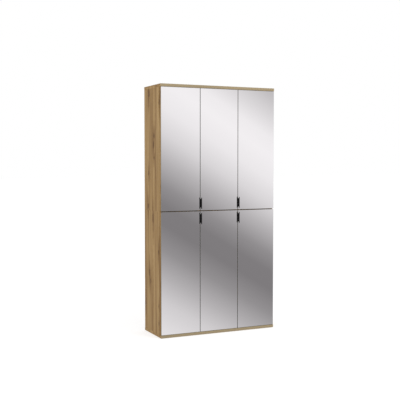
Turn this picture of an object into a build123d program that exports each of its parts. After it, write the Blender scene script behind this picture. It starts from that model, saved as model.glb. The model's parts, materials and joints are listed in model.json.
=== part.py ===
from build123d import *
import os

# Tall, shallow wardrobe with six mirror-fronted doors, in millimetres.
# Origin: middle of the footprint, on the floor. +X is the width, +Z is up, and the doors face -Y.

# ---- overall size ----
overall_height = 1970.0
overall_width = 1000.0
case_depth = 350.0
pull_reach = 19.0           # how far the door pulls stand in front of the mirrors

# ---- boards ----
cover_board = 22.0          # top and bottom boards
panel = 16.0                # sides, partitions, shelves, door boards
back_thick = 3.0
back_inset = 1.0            # back panel in from the sides of the case, half of it at its top and bottom
edge_break = 0.6            # small bevel along exposed edges
glide_height = 3.0

# ---- doors ----
mirror_thick = 4.0
door_inset = 2.0            # door edge in from the end of the top board
column_gap = 4.0
row_gap = 6.5
door_reveal = 2.0           # gap to the top and bottom boards
rear_gap = 3.0              # gap between a door's back and the case

# ---- planes worked out from the sizes above ----
half_width = overall_width / 2
front_y = -(case_depth + pull_reach) / 2 + pull_reach
rear_y = front_y + case_depth
door_thick = panel + mirror_thick
door_back_y = front_y + door_thick
case_front_y = door_back_y + rear_gap
case_rear_y = rear_y - back_thick
floor_z = glide_height + cover_board
ceiling_z = overall_height - cover_board
seam_z = (floor_z + ceiling_z) / 2
door_width = (overall_width - 2 * door_inset - 2 * column_gap) / 3
door_height = (ceiling_z - floor_z - 2 * door_reveal - row_gap) / 2
inner_x = half_width - panel
partition_x = (door_width + column_gap) / 2

rows = {
    "lower": (floor_z, seam_z, floor_z + door_reveal),
    "upper": (seam_z, ceiling_z, seam_z + row_gap / 2),
}
columns = {
    "left": -door_width - column_gap,
    "middle": 0.0,
    "right": door_width + column_gap,
}
hinge_side = {"left": -1, "middle": 1, "right": 1}
pull_columns = ("middle", "right")

# ---- shelves ----
hat_shelf_z = 1640.0
wide_shelf_z = (250.0, 430.0)
narrow_shelf_z = {"lower": (250.0, 430.0, 640.0), "upper": (1240.0, 1640.0)}
shelf_setback = 10.0
shelf_play = 1.0
pin_radius = 2.5
pin_depth = 9.0
pin_reach = 8.0
pin_pitch = 32.0
pin_inset = 40.0
pin_clearance = 0.1
partition_pin_depth = 7.0   # shallower, so holes from a partition's two sides never meet
pin_collar_radius = 4.0
pin_collar_thick = 1.2

# ---- cam fittings ----
cam_radius = 7.5
cam_depth = 12.5
cam_offset = 34.0           # cam centre from the joint plane
cam_inset = 50.0            # cam centre from the front and rear edges of the sides
cam_clearance = 0.1
cross_reach = 4.5
cross_half = 0.8
cross_deep = 2.0
bolt_bite = 10.0
bolt_thread_radius = 2.5
bolt_collar_radius = 3.4
bolt_neck_radius = 1.9
bolt_neck = 6.0
bolt_head = 3.0
bolt_bore_radius = 4.0
bolt_tip_gap = 1.5          # free length past the bolt's head, inside the cam

# ---- concealed hinges, in the door's own axes: u from its hinge edge, v from its mirror face ----
pivot_u = 8.0
pivot_v = 5.0
cup_u = 22.5
cup_radius = 17.5
cup_deep = 11.5
cup_wall = 1.0
cup_rim = 1.5
flange_thick = 1.0
flange_length = 56.0
flange_width = 20.0
flange_shift = 5.0          # flange middle from the cup's centre
flange_corner = 6.0
flange_screw_u = 9.5        # flange screw holes from the cup's centre
flange_screw_z = 22.5
flange_screw_radius = 2.1
link_pin_u = 21.0
link_pin_v = 21.0
link_pin_radius = 1.0
knuckle_radius = 2.0
link_height = 9.0
link_thick = 1.6
cheek_thick = 1.6
cheek_gap = 0.4             # between the link and each cheek of the arm
arm_height = 13.0
arm_length = 62.0
arm_wall = 1.6
arm_corner = 3.0
arm_low_u = 18.0            # side of the arm next to the mounting plate
arm_high_u = 27.0
arm_low_v = 28.0
clamp_v = 73.0
clamp_radius = 2.3
clamp_head_radius = 4.0
clamp_reach = 3.5           # how far the clamp screw goes into the mounting plate
plate_low_v = 34.0
plate_length = 52.0
spine_half = 6.0
saddle_half = 3.5
saddle_shift = 4.0
saddle_drop = 3.0           # saddle top below the top of the arm
foot_v = 42.0
foot_length = 18.0
foot_height = 48.0
foot_drop = 1.0
foot_corner = 5.0
foot_screw_z = 16.0
foot_screw_radius = 2.2
foot_screw_bite = 10.0
screw_head_thick = 1.6
screw_clearance = 0.4
hinge_inset = 90.0          # hinge centre from the door's top or bottom edge

# ---- pulls ----
pull_length = 88.0
pull_width = 5.4
pull_corner = 2.5
pull_edge = 1.0
pull_plate = 2.5
pull_web = 1.6
pull_stand = 2.4            # depth of the foot that stands on the mirror's edge
pull_flange = 18.0
pull_flange_thick = 1.4
pull_wrap_inset = 10.0      # web and flange end this much before the front plate does
pull_screw_u = 11.0         # flange screw holes from the door's edge
pull_screw_inset = 9.0
pull_screw_radius = 1.8
pull_from_seam = 16.0       # near end of a pull from the middle of the seam

# ---- clothes rails ----
rail_radius = 10.0
rail_drop = 45.0
rail_wall = 1.5
rail_x = (-330.0, 10.0)
rail_front_gap = 25.0
rail_rear_gap = 20.0
support_front_gap = 60.0
support_rear_gap = 55.0
support_thick = 10.0
support_wall = 3.0
support_foot = (36.0, 18.0, 3.0)
support_corner = 6.0

# ---- glides, bumpers and the bolts between the two cases ----
glide_radius = 14.0
glide_x_inset = 40.0
glide_front_inset = 45.0
glide_rear_inset = 35.0
small_bevel = 0.8
bumper_inset = 26.0         # from the door's free edge
bumper_radius = 4.5
bumper_gap = 0.1
sleeve_radius = 3.9
sleeve_head_radius = 7.5
sleeve_head = 1.8
sleeve_hole_radius = 4.0
sleeve_x_inset = (90.0, 90.0, 70.0)     # from the left side, the partition and the right side
sleeve_y_inset = 60.0

# ---- wall brackets ----
bracket_x = 330.0
bracket_width = 40.0
bracket_leg = 32.0
bracket_thick = 2.0
wall_hole_radius = 3.0
wall_hole_drop = 18.0
ledge_screw_x = 12.0
ledge_screw_y = 20.0
ledge_screw_radius = 2.0
ledge_screw_bite = 12.0
ledge_head_radius = 3.8
ledge_head_thick = 1.8


def block(x0, x1, y0, y1, z0, z1):
    """A plain box between two corners."""
    shape = Box(x1 - x0, y1 - y0, z1 - z0)
    return Pos((x0 + x1) / 2, (y0 + y1) / 2, (z0 + z1) / 2) * shape


def soft_block(x0, x1, y0, y1, z0, z1):
    """A box with its edges broken by a small bevel."""
    shape = block(x0, x1, y0, y1, z0, z1)
    return chamfer(shape.edges(), edge_break)


def rod(start, direction, radius, length):
    """A cylinder from a start point along a direction."""
    plane = Plane(origin=start, z_dir=direction)
    return plane.location * Cylinder(radius, length, align=(Align.CENTER, Align.CENTER, Align.MIN))


def along(point, direction, distance):
    """The point at a distance from another, along a direction."""
    return tuple(p + d * distance for p, d in zip(point, direction))


class CamJoint:
    """A cam in one board, and the bolt that ties that board to its neighbour."""

    def __init__(self, host, drilled, contact, into, face):
        self.host = host              # board that the bolt is screwed into
        self.drilled = drilled        # board that holds the cam
        self.contact = contact        # on the joint plane, at half the drilled board's thickness
        self.into = into              # from the joint plane into the drilled board
        self.face = face              # from the drilled board's middle to the face with the cam

    def host_hole(self):
        radius = bolt_thread_radius + cam_clearance
        return rod(along(self.contact, self.into, -bolt_bite - 1), self.into, radius, bolt_bite + 1)

    def drilled_holes(self):
        centre = along(self.contact, self.into, cam_offset)
        mouth = along(centre, self.face, panel / 2)
        pocket = rod(mouth, tuple(-f for f in self.face), cam_radius + cam_clearance, cam_depth)
        bore = rod(self.contact, self.into, bolt_bore_radius, cam_offset)
        return [pocket, bore]

    def cam(self):
        centre = along(self.contact, self.into, cam_offset)
        mouth = along(centre, self.face, panel / 2 - 2 * cam_clearance)
        body = rod(mouth, tuple(-f for f in self.face), cam_radius, cam_depth - 4 * cam_clearance)
        cross = block(-cross_reach, cross_reach, -cross_half, cross_half, -cross_deep, 1)
        cross += block(-cross_half, cross_half, -cross_reach, cross_reach, -cross_deep, 1)
        recess = Plane(origin=mouth, z_dir=self.face).location * cross
        slot = rod(self.contact, self.into, bolt_bore_radius - cam_clearance, cam_offset + bolt_tip_gap)
        return body - recess - slot

    def bolt(self):
        neck_at = cam_offset - bolt_head - bolt_neck
        thread = rod(along(self.contact, self.into, -bolt_bite), self.into, bolt_thread_radius, bolt_bite)
        collar = rod(self.contact, self.into, bolt_collar_radius, neck_at)
        neck = rod(along(self.contact, self.into, neck_at), self.into, bolt_neck_radius, bolt_neck)
        head_at = along(self.contact, self.into, neck_at + bolt_neck)
        head = rod(head_at, self.into, bolt_collar_radius, bolt_head)
        return thread + collar + neck + head


def cam_joints():
    """Every cam joint of the case."""
    joints = []
    depths = (case_front_y + cam_inset, case_rear_y - cam_inset)
    inward = {"left": (1, 0, 0), "right": (-1, 0, 0)}
    for y in depths:
        for row, host, plane_z, into in (
            ("lower", "bottom_board", floor_z, (0, 0, 1)),
            ("upper", "top_board", ceiling_z, (0, 0, -1)),
        ):
            for side, sign in (("left", -1), ("right", 1)):
                spot = (sign * (half_width - panel / 2), y, plane_z)
                joints.append(CamJoint(host, f"{side}_side_{row}", spot, into, inward[side]))
            spot = (partition_x, y, plane_z)
            joints.append(CamJoint(host, f"partition_{row}", spot, into, (1, 0, 0)))
        for row, board, middle_z, into in (
            ("lower", "middle_board_lower", seam_z - panel / 2, (0, 0, -1)),
            ("upper", "middle_board_upper", seam_z + panel / 2, (0, 0, 1)),
        ):
            for side, sign in (("left", -1), ("right", 1)):
                spot = (sign * inner_x, y, middle_z)
                joints.append(CamJoint(f"{side}_side_{row}", board, spot, inward[side], (0, 0, -1)))
            spot = (partition_x, y, middle_z + into[2] * panel / 2)
            joints.append(CamJoint(board, f"partition_{row}", spot, into, (1, 0, 0)))
        spot = (-inner_x, y, hat_shelf_z + panel / 2)
        joints.append(CamJoint("left_side_upper", "hat_shelf", spot, (1, 0, 0), (0, 0, -1)))
        spot = (partition_x - panel / 2, y, hat_shelf_z + panel / 2)
        joints.append(CamJoint("partition_upper", "hat_shelf", spot, (-1, 0, 0), (0, 0, -1)))
    return joints


def case_boards():
    """The boards of the case, edges broken, before any hole is drilled."""
    boards = {}
    boards["top_board"] = soft_block(-half_width, half_width, front_y, rear_y, ceiling_z, overall_height)
    boards["bottom_board"] = soft_block(-half_width, half_width, front_y, rear_y, glide_height, floor_z)
    for row, (low, high, _) in rows.items():
        boards[f"left_side_{row}"] = soft_block(-half_width, -inner_x, case_front_y, case_rear_y, low, high)
        boards[f"right_side_{row}"] = soft_block(inner_x, half_width, case_front_y, case_rear_y, low, high)
        low_part = low + (panel if row == "upper" else 0)
        high_part = high - (panel if row == "lower" else 0)
        boards[f"partition_{row}"] = soft_block(
            partition_x - panel / 2, partition_x + panel / 2, case_front_y, case_rear_y, low_part, high_part)
    for row, low in (("lower", seam_z - panel), ("upper", seam_z)):
        boards[f"middle_board_{row}"] = soft_block(
            -inner_x, inner_x, case_front_y, case_rear_y, low, low + panel)
    boards["hat_shelf"] = soft_block(
        -inner_x, partition_x - panel / 2, case_front_y, case_rear_y, hat_shelf_z, hat_shelf_z + panel)
    return boards


def loose_shelves():
    """The shelves that rest on pins: name, left and right ends, height of the underside, row."""
    shelves = []
    wide = (-inner_x, partition_x - panel / 2)
    narrow = (partition_x + panel / 2, inner_x)
    for number, z in enumerate(wide_shelf_z, start=1):
        shelves.append((f"wide_shelf_{number}", *wide, z, "lower"))
    for row, heights in narrow_shelf_z.items():
        for number, z in enumerate(heights, start=1):
            shelves.append((f"narrow_shelf_{row}_{number}", *narrow, z, row))
    return shelves


def pin_spots():
    """Where each shelf pin goes in: board, point on its face, direction into it."""
    spots = []
    for _, left, right, z, row in loose_shelves():
        left_board = f"left_side_{row}" if left < 0 else f"partition_{row}"
        right_board = f"right_side_{row}" if right > partition_x else f"partition_{row}"
        for y in (case_front_y + pin_inset, case_rear_y - pin_inset):
            spots.append((left_board, (left, y, z - pin_radius), (-1, 0, 0)))
            spots.append((right_board, (right, y, z - pin_radius), (1, 0, 0)))
    return spots


def pin_depth_in(board):
    return partition_pin_depth if board.startswith("partition") else pin_depth


def pin_holes():
    """A group of three holes for each pin, so the shelf can be moved up or down one step."""
    holes = []
    for board, spot, direction in pin_spots():
        for step in (-1, 0, 1):
            start = (spot[0], spot[1], spot[2] + step * pin_pitch)
            holes.append((board, rod(start, direction, pin_radius + pin_clearance, pin_depth_in(board))))
    return holes


def shelf_pin(board, spot, direction):
    """A steel pin with a collar, half in the board and half under the shelf."""
    inner = along(spot, direction, pin_depth_in(board) - 1)
    back = tuple(-d for d in direction)
    body = rod(inner, back, pin_radius, pin_depth_in(board) - 1 + pin_reach)
    x, y, z = spot
    reach = pin_collar_radius + 1
    over = block(x - reach, x + reach, y - reach, y + reach, z + pin_radius, z + reach)
    return body + (rod(spot, back, pin_collar_radius, pin_collar_thick) - over)


def hinge_heights(row):
    """Centres of the three hinges of a door in this row."""
    bottom = rows[row][2]
    return (bottom + hinge_inset, bottom + door_height / 2, bottom + door_height - hinge_inset)


def hinge_edge(column):
    """X of the door's hinge edge."""
    return columns[column] + hinge_side[column] * door_width / 2


def at_hinge(shape, column, z):
    """Bring a piece from the hinge's own axes to a door's hinge edge."""
    if hinge_side[column] > 0:
        shape = mirror(shape, about=Plane.YZ)
    return Pos(hinge_edge(column), front_y, z) * shape


def cup_pocket():
    return rod((cup_u, door_thick - cup_deep, 0), (0, 1, 0), cup_radius + pin_clearance, cup_deep + 1)


def hinge_cup():
    """The cup, with its screwed flange on the door's back."""
    floor_v = door_thick - cup_deep
    outer = rod((cup_u, floor_v + pin_clearance, 0), (0, 1, 0), cup_radius, cup_deep - pin_clearance)
    rim = rod((cup_u, door_thick, 0), (0, 1, 0), cup_radius + cup_rim, flange_thick)
    middle_u = cup_u + flange_shift
    wing = block(middle_u - flange_width / 2, middle_u + flange_width / 2,
                 door_thick, door_thick + flange_thick, -flange_length / 2, flange_length / 2)
    wing = fillet(wing.edges().filter_by(Axis.Y), flange_corner)
    hollow = rod((cup_u, floor_v + cup_wall, 0), (0, 1, 0), cup_radius - cup_wall, 2 * cup_deep)
    cup = outer + rim + wing - hollow
    for end in (-1, 1):
        start = (cup_u + flange_screw_u, door_thick - flange_thick, end * flange_screw_z)
        cup -= rod(start, (0, 1, 0), flange_screw_radius, 3 * flange_thick)
    return cup


def hinge_arm():
    """The arm on the case side: a channel with a knuckle that holds the link's pin."""
    arm_high_v = arm_low_v + arm_length
    half = arm_height / 2
    channel = block(arm_low_u, arm_high_u, arm_low_v, arm_high_v, -half, half)
    channel = fillet(channel.edges().filter_by(Axis.Z), arm_corner)
    groove = block(arm_low_u - 1, arm_high_u - arm_wall, arm_low_v - 1, arm_high_v + 1,
                   -half + arm_wall, half - arm_wall)
    arm = channel - groove
    for side in (-1, 1):
        low_z = side * (link_height / 2 + cheek_gap + cheek_thick / 2) - cheek_thick / 2
        knuckle = rod((link_pin_u, link_pin_v, low_z), (0, 0, 1), knuckle_radius, cheek_thick)
        outline = Polyline(
            (link_pin_u - 1.2, link_pin_v + 1), (link_pin_u + 1.2, link_pin_v - 0.4),
            (arm_high_u - 1, arm_low_v + 4), (arm_low_u + 1, arm_low_v + 4), close=True)
        arm += knuckle + Pos(0, 0, low_z) * extrude(make_face(outline), amount=cheek_thick)
    pin_half = link_height / 2 + cheek_gap + cheek_thick
    arm += rod((link_pin_u, link_pin_v, -pin_half), (0, 0, 1), link_pin_radius, 2 * pin_half)
    return arm - rod((arm_low_u - 1, clamp_v, 0), (1, 0, 0), clamp_radius + screw_clearance / 2, arm_length)


def panel_face_u(column):
    """U of the panel face that carries a door's hinges: the middle door covers half a panel only."""
    return (panel - column_gap) / 2 if column == "middle" else panel - door_inset


def foot_screw_starts(u):
    """Middles of the two mounting-plate screws, at a given distance from the door's edge."""
    return [(u, foot_v + foot_length / 2, end * foot_screw_z) for end in (-1, 1)]


def mounting_plate(column):
    """The plate between the panel's face and the arm, thicker where the door covers half a panel."""
    face_u = panel_face_u(column)
    foot = block(
        face_u, arm_low_u - foot_drop, foot_v, foot_v + foot_length, -foot_height / 2, foot_height / 2)
    foot = fillet(foot.edges().filter_by(Axis.X), foot_corner)
    high_v = plate_low_v + plate_length
    spine = block(face_u, arm_low_u, plate_low_v, high_v, -spine_half, spine_half)
    saddle = block(face_u, arm_high_u - saddle_drop, plate_low_v + saddle_shift, high_v - 2 * saddle_shift,
                   -saddle_half, saddle_half)
    plate = foot + spine + saddle
    hole_radius = clamp_radius + screw_clearance / 2
    plate -= rod((arm_low_u - clamp_reach - screw_clearance, clamp_v, 0), (1, 0, 0), hole_radius, arm_length)
    for start in foot_screw_starts(face_u - 1):
        plate -= rod(start, (1, 0, 0), foot_screw_radius + screw_clearance, arm_low_u)
    return plate


def plate_screws(column):
    """Two screws into the panel, and the clamp screw that holds the arm on its plate."""
    face_u = panel_face_u(column)
    top_u = arm_low_u - foot_drop
    screws = []
    for under_head, tip in zip(foot_screw_starts(top_u), foot_screw_starts(face_u - foot_screw_bite)):
        head = rod(under_head, (1, 0, 0), clamp_head_radius, screw_head_thick)
        screws.append(head + rod(tip, (1, 0, 0), foot_screw_radius, top_u - tip[0]))
    low_u = arm_low_u - clamp_reach
    clamp = rod((low_u, clamp_v, 0), (1, 0, 0), clamp_radius, arm_high_u - low_u)
    screws.append(clamp + rod((arm_high_u, clamp_v, 0), (1, 0, 0), clamp_head_radius, screw_head_thick))
    return screws


def plate_pilot_holes(column):
    depth = foot_screw_bite + screw_clearance
    starts = foot_screw_starts(panel_face_u(column) - depth)
    return [rod(start, (1, 0, 0), foot_screw_radius + pin_clearance, depth + 1) for start in starts]


def hinge_link():
    """The bent link between the arm's pin and the inside of the cup."""
    bend = Polyline(
        (link_pin_u, link_pin_v), (link_pin_u + 4.5, link_pin_v + 2.0), (link_pin_u + 10, link_pin_v + 2.1),
        (link_pin_u + 15, link_pin_v - 0.6), (link_pin_u + 15.3, link_pin_v - 8.0))
    strip = offset(bend, amount=link_thick / 2, kind=Kind.ARC)
    strip = extrude(make_face(strip.edges()), amount=link_height)
    eye = rod((link_pin_u, link_pin_v, 0), (0, 0, 1), knuckle_radius, link_height)
    bore = rod((link_pin_u, link_pin_v, -1), (0, 0, 1), link_pin_radius + 0.05, link_height + 2)
    return Pos(0, 0, -link_height / 2) * (strip + eye - bore)


def door_pull(column, row):
    """A pull that wraps the door's free edge: front plate, web in the gap, flange on the back."""
    free_side = -hinge_side[column]
    edge_x = columns[column] + free_side * door_width / 2
    near_seam = rows[row][2] if row == "upper" else rows[row][2] + door_height
    upward = 1 if row == "upper" else -1
    middle_z = near_seam + upward * (pull_from_seam - row_gap / 2 + pull_length / 2)
    plate_sketch = RectangleRounded(pull_width + pull_web, pull_length, pull_corner)
    plate = extrude(Plane.XZ * plate_sketch, amount=pull_plate)
    plate = Pos((pull_width - pull_web) / 2, -pull_reach + pull_plate, 0) * plate
    plate = fillet(plate.faces().sort_by(Axis.Y)[0].edges(), pull_edge)
    half = pull_length / 2 - pull_wrap_inset
    flange_v = door_thick + pull_flange_thick
    web = block(-pull_web, 0, -pull_reach + pull_plate, flange_v, -half, half)
    stand = block(-pull_web, pull_stand, -pull_reach + pull_plate, 0, -half, half)
    flange = block(0, pull_flange, door_thick, flange_v, -half, half)
    shape = plate + web + stand + flange
    for end in (-1, 1):
        start = (pull_screw_u, door_thick - 1, end * (half - pull_screw_inset))
        shape -= rod(start, (0, 1, 0), pull_screw_radius, pull_flange_thick + 2)
    if free_side > 0:
        shape = mirror(shape, about=Plane.YZ)
    return Pos(edge_x, front_y, middle_z) * shape


def door_board(column, row):
    """The door's board, with pockets for its hinge cups."""
    x0 = columns[column] - door_width / 2
    z0 = rows[row][2]
    board = block(x0, x0 + door_width, front_y + mirror_thick, door_back_y, z0, z0 + door_height)
    board = chamfer(board.faces().sort_by(Axis.Y)[-1].edges(), edge_break)
    return board - [at_hinge(cup_pocket(), column, z) for z in hinge_heights(row)]


def door_mirror(column, row):
    """The mirror glued over the whole door, its front edges ground to a small bevel."""
    x0 = columns[column] - door_width / 2
    z0 = rows[row][2]
    glass = block(x0, x0 + door_width, front_y, front_y + mirror_thick, z0, z0 + door_height)
    return chamfer(glass.faces().sort_by(Axis.Y)[0].edges(), edge_break)


def clothes_rail(x):
    """A tube from front to back under the hat shelf."""
    z = hat_shelf_z - rail_drop
    start_y = case_front_y + rail_front_gap
    length = case_rear_y - rail_rear_gap - start_y
    tube = rod((x, start_y, z), (0, 1, 0), rail_radius, length)
    return tube - rod((x, start_y - 1, z), (0, 1, 0), rail_radius - rail_wall, length + 2)


def rail_supports(x):
    """Two hangers that hold one rail under the hat shelf."""
    z = hat_shelf_z - rail_drop
    pieces = []
    width, depth, thick = support_foot
    half = support_thick / 2
    for y in (case_front_y + support_front_gap, case_rear_y - support_rear_gap):
        collar = rod((x, y - half, z), (0, 1, 0), rail_radius + support_wall, support_thick)
        stem = block(x - half, x + half, y - half, y + half, z + rail_radius, hat_shelf_z)
        foot = block(x - width / 2, x + width / 2, y - depth / 2, y + depth / 2,
                     hat_shelf_z - thick, hat_shelf_z)
        foot = fillet(foot.edges().filter_by(Axis.Z), support_corner)
        bore = rod((x, y - support_thick, z), (0, 1, 0), rail_radius + pin_clearance / 2, 2 * support_thick)
        pieces.append(collar + stem + foot - bore)
    return pieces


def floor_glides():
    """Flat nylon glides under the bottom board."""
    glides = []
    for x in (-half_width + glide_x_inset, partition_x, half_width - glide_x_inset):
        for y in (front_y + glide_front_inset, rear_y - glide_rear_inset):
            disc = rod((x, y, 0), (0, 0, 1), glide_radius, glide_height)
            glides.append(chamfer(disc.edges().sort_by(Axis.Z)[0], small_bevel))
    return glides


def sleeve_spots():
    """Where the sleeve bolts between the two cases stand: x and y."""
    from_left, from_partition, from_right = sleeve_x_inset
    return [
        (x, y)
        for x in (-inner_x + from_left, partition_x - from_partition, inner_x - from_right)
        for y in (case_front_y + sleeve_y_inset, case_rear_y - sleeve_y_inset)
    ]


def module_bolts():
    """Sleeve bolts that hold the upper case on the lower one."""
    bolts = []
    for x, y in sleeve_spots():
        shank = rod((x, y, seam_z - panel), (0, 0, 1), sleeve_radius, 2 * panel)
        low_head = rod((x, y, seam_z - panel - sleeve_head), (0, 0, 1), sleeve_head_radius, sleeve_head)
        high_head = rod((x, y, seam_z + panel), (0, 0, 1), sleeve_head_radius, sleeve_head)
        bolts.append(shank + low_head + high_head)
    return bolts


def module_bolt_holes():
    length = 2 * panel + 2
    low_z = seam_z - length / 2
    return [rod((x, y, low_z), (0, 0, 1), sleeve_hole_radius, length) for x, y in sleeve_spots()]


def door_bumpers():
    """Soft stops on the middle boards, behind each door's free corner."""
    bumpers = []
    for column, centre in columns.items():
        x = centre - hinge_side[column] * (door_width / 2 - bumper_inset)
        for z in (seam_z - panel / 2, seam_z + panel / 2):
            dot = rod((x, case_front_y, z), (0, -1, 0), bumper_radius, rear_gap - bumper_gap)
            bumpers.append(chamfer(dot.edges().sort_by(Axis.Y)[0], small_bevel))
    return bumpers


def wall_bracket(sign):
    """An angle under the top board, against the back panel, with a hole for the wall screw."""
    x = sign * bracket_x
    low_z = ceiling_z - bracket_leg
    half = bracket_width / 2
    upright = block(x - half, x + half, case_rear_y - bracket_thick, case_rear_y, low_z, ceiling_z)
    ledge = block(x - half, x + half, case_rear_y - bracket_leg, case_rear_y,
                  ceiling_z - bracket_thick, ceiling_z)
    shape = upright + ledge - wall_hole(sign)
    for x, y in ledge_screw_spots(sign):
        hole_radius = ledge_screw_radius + screw_clearance / 2
        shape -= rod((x, y, ceiling_z - 2 * bracket_thick), (0, 0, 1), hole_radius, 3 * bracket_thick)
    return shape


def wall_hole(sign):
    start = (sign * bracket_x, case_rear_y - 10, ceiling_z - wall_hole_drop)
    return rod(start, (0, 1, 0), wall_hole_radius, 20)


def ledge_screw_spots(sign):
    return [(sign * bracket_x + side * ledge_screw_x, case_rear_y - ledge_screw_y) for side in (-1, 1)]


def bracket_screws():
    """Screws that hold the wall brackets under the top board."""
    screws = []
    for x, y in ledge_screw_spots(-1) + ledge_screw_spots(1):
        under_head = (x, y, ceiling_z - bracket_thick)
        shank = rod(under_head, (0, 0, 1), ledge_screw_radius, ledge_screw_bite)
        screws.append(shank + rod(under_head, (0, 0, -1), ledge_head_radius, ledge_head_thick))
    return screws


def bracket_screw_holes():
    radius = ledge_screw_radius + pin_clearance
    spots = ledge_screw_spots(-1) + ledge_screw_spots(1)
    return [rod((x, y, ceiling_z - 1), (0, 0, 1), radius, ledge_screw_bite) for x, y in spots]


def build():
    """Every node of the wardrobe, by name."""
    nodes = case_boards()
    drilled = {name: [] for name in nodes}

    joints = cam_joints()
    for joint in joints:
        drilled[joint.host].append(joint.host_hole())
        drilled[joint.drilled].extend(joint.drilled_holes())
    for board, hole in pin_holes():
        drilled[board].append(hole)
    for board in ("middle_board_lower", "middle_board_upper"):
        drilled[board].extend(module_bolt_holes())
    drilled["top_board"].extend(bracket_screw_holes())
    for row in rows:
        hosts = {"left": f"left_side_{row}", "middle": f"partition_{row}", "right": f"right_side_{row}"}
        for column, board in hosts.items():
            for z in hinge_heights(row):
                drilled[board].extend(at_hinge(hole, column, z) for hole in plate_pilot_holes(column))
    for name, holes in drilled.items():
        nodes[name] = nodes[name] - holes

    for row, (low, high, _) in rows.items():
        back = block(-half_width + back_inset, half_width - back_inset, case_rear_y, rear_y,
                     low + back_inset / 2, high - back_inset / 2)
        if row == "upper":
            back = back - [wall_hole(-1), wall_hole(1)]
        nodes[f"back_panel_{row}"] = back

    for name, left, right, z, _ in loose_shelves():
        nodes[name] = soft_block(left + shelf_play, right - shelf_play, case_front_y + shelf_setback,
                                 case_rear_y - shelf_play, z, z + panel)

    nodes["shelf_pins"] = [shelf_pin(*spot) for spot in pin_spots()]
    nodes["cam_locks"] = [joint.cam() for joint in joints]
    nodes["cam_bolts"] = [joint.bolt() for joint in joints]
    nodes["module_bolts"] = module_bolts()
    nodes["floor_glides"] = floor_glides()
    nodes["door_bumpers"] = door_bumpers()
    nodes["wall_brackets"] = [wall_bracket(-1), wall_bracket(1)]
    nodes["clothes_rails"] = [clothes_rail(x) for x in rail_x]
    nodes["rail_supports"] = [piece for x in rail_x for piece in rail_supports(x)]

    arms = []
    plates = []
    screws = bracket_screws()
    for row in rows:
        for column in columns:
            door = f"{column}_door_{row}"
            heights = hinge_heights(row)
            nodes[door] = door_board(column, row)
            nodes[f"{column}_mirror_{row}"] = door_mirror(column, row)
            nodes[f"{column}_hinge_cups_{row}"] = [at_hinge(hinge_cup(), column, z) for z in heights]
            nodes[f"{column}_hinge_links_{row}"] = [at_hinge(hinge_link(), column, z) for z in heights]
            arms.extend(at_hinge(hinge_arm(), column, z) for z in heights)
            plates.extend(at_hinge(mounting_plate(column), column, z) for z in heights)
            screws.extend(at_hinge(s, column, z) for z in heights for s in plate_screws(column))
            if column in pull_columns:
                nodes[f"{column}_pull_{row}"] = door_pull(column, row)
    nodes["hinge_arms"] = arms
    nodes["hinge_plates"] = plates
    nodes["wood_screws"] = screws
    return nodes


def main():
    os.makedirs("parts", exist_ok=True)
    for name, shape in build().items():
        if isinstance(shape, list):
            solids = [solid for piece in shape for solid in piece.solids()]
            shape = Compound(children=solids)
        export_step(shape, f"parts/{name}.step")


main()
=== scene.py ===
import json
import math
import bpy
import bmesh
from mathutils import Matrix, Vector


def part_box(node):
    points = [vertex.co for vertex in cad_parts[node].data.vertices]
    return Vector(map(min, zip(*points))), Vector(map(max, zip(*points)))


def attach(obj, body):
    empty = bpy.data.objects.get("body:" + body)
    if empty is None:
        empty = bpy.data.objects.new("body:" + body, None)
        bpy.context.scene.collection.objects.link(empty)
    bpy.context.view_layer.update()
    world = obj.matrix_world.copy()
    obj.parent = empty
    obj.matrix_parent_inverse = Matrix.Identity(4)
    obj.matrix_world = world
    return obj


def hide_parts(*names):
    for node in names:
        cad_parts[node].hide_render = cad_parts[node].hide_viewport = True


print("wardrobe: loading the frame")
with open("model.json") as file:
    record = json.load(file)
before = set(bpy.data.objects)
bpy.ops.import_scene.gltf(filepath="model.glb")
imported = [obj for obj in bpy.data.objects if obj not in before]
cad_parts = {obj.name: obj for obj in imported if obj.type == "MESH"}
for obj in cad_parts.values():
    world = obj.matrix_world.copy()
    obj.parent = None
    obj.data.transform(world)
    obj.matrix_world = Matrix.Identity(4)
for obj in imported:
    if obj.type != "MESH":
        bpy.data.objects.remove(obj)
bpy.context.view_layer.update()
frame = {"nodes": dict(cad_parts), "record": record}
cadNodes = frame["nodes"]
scene = bpy.context.scene

doorRows = ("lower", "upper")
doorColumns = ("left", "middle", "right")

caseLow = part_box("bottom_board")[0]
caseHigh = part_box("top_board")[1]
frontY = caseLow.y               # mirror faces and the fronts of the top and bottom boards
rearY = caseHigh.y
sideX = caseLow.x                # outer face of the left side
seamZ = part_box("middle_board_upper")[0].z


def meshObject(name, vertices, faces):
    mesh = bpy.data.meshes.new(name)
    mesh.from_pydata(vertices, [], faces)
    made = bpy.data.objects.new(name, mesh)
    scene.collection.objects.link(made)
    return made


def addNode(tree, kind, inputs=None, **settings):
    made = tree.nodes.new(kind)
    for name, value in settings.items():
        setattr(made, name, value)
    for name, value in (inputs or {}).items():
        plug(tree, value, made.inputs[name])
    return made


def plug(tree, value, socket):
    if isinstance(value, bpy.types.NodeSocket):
        tree.links.new(value, socket)
    else:
        socket.default_value = value


def calc(tree, operation, first, second=0.0, third=0.0, clamp=False):
    made = addNode(tree, "ShaderNodeMath", operation=operation, use_clamp=clamp)
    for index, value in enumerate((first, second, third)):
        plug(tree, value, made.inputs[index])
    return made.outputs[0]


def vectorCalc(tree, operation, first, second=(0.0, 0.0, 0.0)):
    made = addNode(tree, "ShaderNodeVectorMath", operation=operation)
    plug(tree, first, made.inputs[0])
    plug(tree, second, made.inputs[1])
    return made.outputs["Value" if operation == "LENGTH" else "Vector"]


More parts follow.
